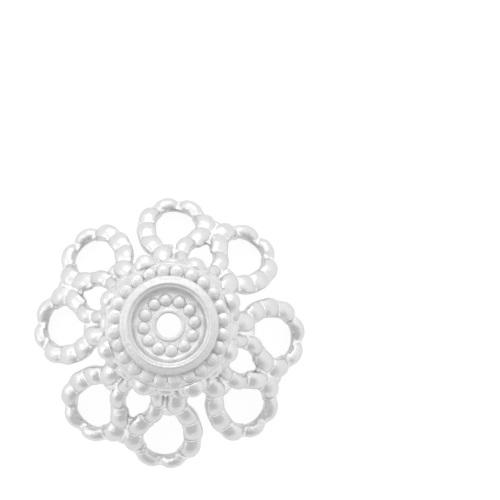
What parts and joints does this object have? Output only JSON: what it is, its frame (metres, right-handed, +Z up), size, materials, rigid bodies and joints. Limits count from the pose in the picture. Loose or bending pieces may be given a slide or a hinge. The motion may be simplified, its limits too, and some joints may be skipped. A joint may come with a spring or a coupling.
{
  "type": "bead cap",
  "caption": "Flaring filigree bead cap: pierced skirt of beaded loops under a stepped round crown ringed with granules, with a hole for a headpin or cord.",
  "frame": {"origin": "on the axis of the hole, level with the lowest tips of the loops", "axes": "+Z up along the hole's axis, from the loop tips to the crown; +X through the middle of one petal, which is a pair of loops"},
  "size_m": [0.0196, 0.0196, 0.0124],
  "materials": {
    "silver_plate": "satin"
  },
  "bodies": {
    "root": {"crown_cup": "silver_plate", "filigree_skirt": "silver_plate"}
  },
  "joints": []
}
